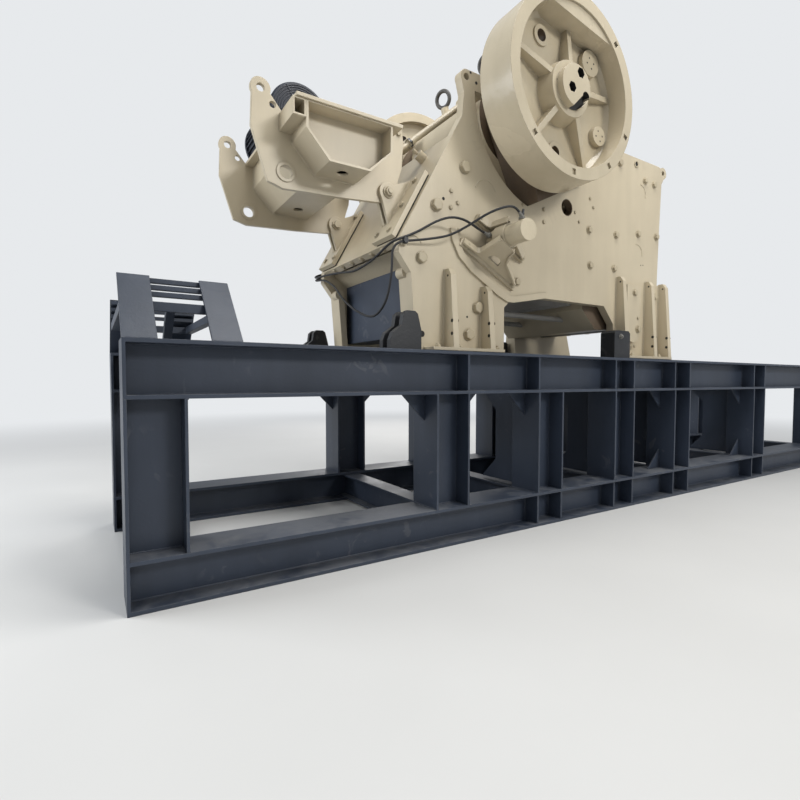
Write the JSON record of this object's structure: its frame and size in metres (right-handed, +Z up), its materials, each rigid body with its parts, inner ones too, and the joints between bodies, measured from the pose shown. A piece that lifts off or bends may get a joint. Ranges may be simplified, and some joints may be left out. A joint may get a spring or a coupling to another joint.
{
  "type": "jaw crusher",
  "caption": "Single-toggle jaw crusher with two heavy flywheels and a tilting motor base, standing on the deck of a long welded steel support chassis.",
  "frame": {"origin": "on the floor below the middle of the chassis", "axes": "+X along the chassis to the feed end, +Y to the side of the driven flywheel, +Z up"},
  "size_m": [12, 3.2, 5.5669],
  "materials": {
    "cream_paint": "satin machine enamel, scuffed at edges",
    "grey_paint": "matt dark grey primer",
    "black_rubber": "matt black",
    "hose_rubber": "satin black hose cover",
    "manganese_steel": "cast, dull",
    "bare_steel": "machined, oiled",
    "blue_paint": "dark blue enamel"
  },
  "bodies": {
    "frame": {"upper_beam_near": "grey_paint", "upper_beam_far": "grey_paint", "lower_beam_near": "grey_paint", "lower_beam_far": "grey_paint", "columns_near": "grey_paint", "columns_far": "grey_paint", "gussets": "grey_paint", "upper_cross_beams": "grey_paint", "lower_cross_beams": "grey_paint", "portal_plates": "grey_paint", "trestle_legs": "grey_paint", "trestle_rails": "grey_paint", "side_plate_near": "cream_paint", "side_plate_far": "cream_paint", "rubber_pads": "black_rubber", "rear_frame": "cream_paint", "rear_back_plate": "grey_paint", "front_frame": "cream_paint", "fixed_jaw_die": "manganese_steel", "moving_jaw_die": "manganese_steel", "cheek_plates": "manganese_steel", "pitman": "cream_paint", "lifting_eyes": "bare_steel", "bearing_housing_near": "cream_paint", "bearing_housing_far": "cream_paint", "toggle_plate": "bare_steel", "toggle_wedges": "bare_steel", "tension_rods": "bare_steel", "motor_clevises": "cream_paint", "motor_arms": "cream_paint", "pivot_pins": "cream_paint", "motor_cross_beam": "cream_paint", "motor_top_plate": "cream_paint", "motor_side_tube": "cream_paint", "motor": "blue_paint", "adjusting_struts": "cream_paint", "cylinder_bracket_near": "cream_paint", "cylinder_bracket_far": "cream_paint", "wedge_cylinder_near": "cream_paint", "wedge_cylinder_far": "cream_paint", "hydraulic_hoses": "hose_rubber", "transport_stops": "black_rubber"},
    "rotor": {"eccentric_shaft": "bare_steel", "flywheel_near": "cream_paint", "flywheel_far": "cream_paint"}
  },
  "joints": [
    {"name": "shaft_spin", "type": "hinge", "parent": "frame", "child": "rotor", "pos_m": [-1.89, 0, 4.627], "axis": [0, 1, 0], "continuous": true}
  ]
}
